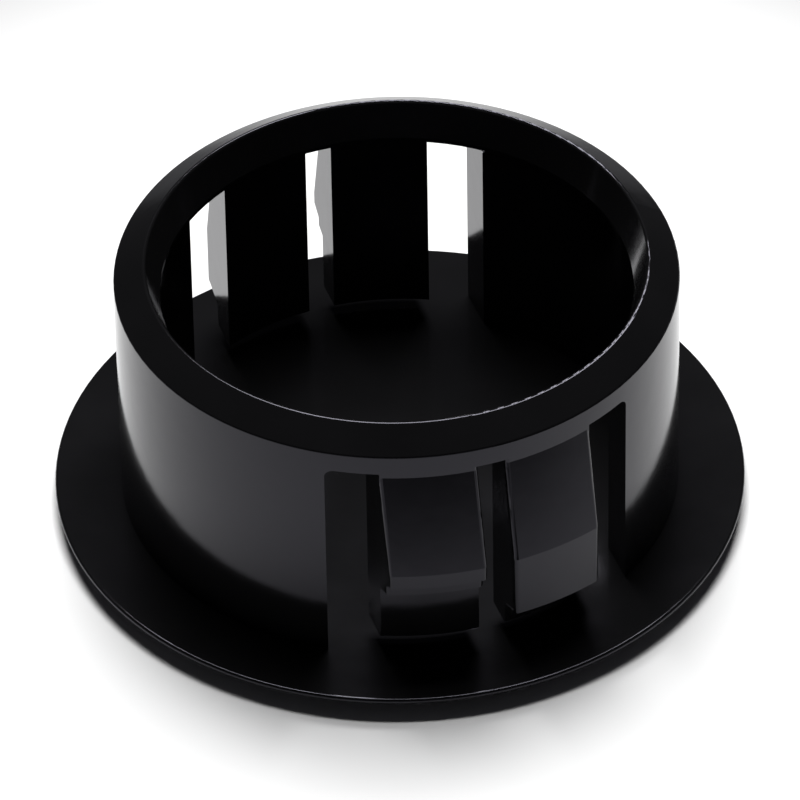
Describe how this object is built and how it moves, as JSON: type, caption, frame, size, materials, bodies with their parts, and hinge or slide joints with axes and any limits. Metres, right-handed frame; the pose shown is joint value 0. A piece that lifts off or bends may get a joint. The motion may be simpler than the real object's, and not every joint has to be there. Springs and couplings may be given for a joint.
{
  "type": "snap-in hole plug",
  "caption": "Round snap-in plug for a panel hole: thin cover head, hollow open-topped barrel, and springy fingers in side windows that catch behind the panel.",
  "frame": {"origin": "centre of the head's outer face, which is the lowest flat face", "axes": "+Z from the head towards the open end of the barrel, the way it is pushed into a panel; the two windows face +Y and -Y"},
  "size_m": [0.0304, 0.0304, 0.0131],
  "materials": {
    "nylon": "gloss"
  },
  "bodies": {
    "root": {"hole_plug": "nylon"}
  },
  "joints": []
}
